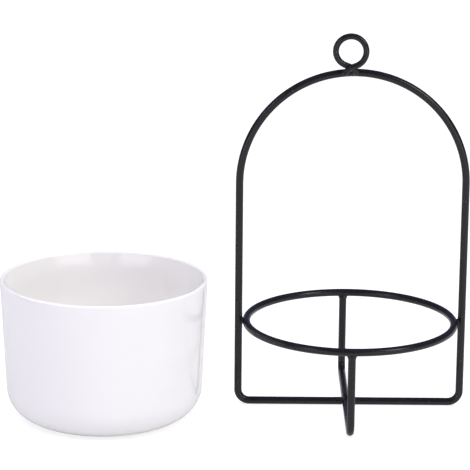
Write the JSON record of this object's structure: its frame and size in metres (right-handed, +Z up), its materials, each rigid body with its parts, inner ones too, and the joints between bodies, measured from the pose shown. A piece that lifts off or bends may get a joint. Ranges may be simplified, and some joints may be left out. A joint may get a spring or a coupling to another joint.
{
  "type": "hanging plant holder",
  "caption": "Wire holder that hangs or stands, with a round arch, a ring on a crossed foot and a hanging eye, and the white ceramic pot that drops through the ring.",
  "frame": {"origin": "on the ground, under the middle of the wire frame", "axes": "+Z up, -Y the front that the picture shows, +X to the right seen from the front"},
  "size_m": [0.321, 0.1688, 0.2648],
  "materials": {
    "coated_wire": "satin black powder coat on steel wire",
    "coated_weld": "satin black powder coat on weld metal",
    "glazed_pot": "glossy white glaze"
  },
  "bodies": {
    "frame": {"hoop": "coated_wire", "support_ring": "coated_wire", "cross_stand": "coated_wire", "hanging_eye": "coated_wire", "left_ring_weld": "coated_weld", "right_ring_weld": "coated_weld", "front_leg_weld": "coated_weld", "back_leg_weld": "coated_weld", "left_foot_weld": "coated_weld", "right_foot_weld": "coated_weld", "eye_weld": "coated_weld"},
    "pot": {"pot": "glazed_pot"}
  },
  "joints": [
    {"name": "pot_lift", "type": "slide", "parent": "frame", "child": "pot", "axis": [0, 0, 1], "range_m": [0, 0.08]}
  ]
}
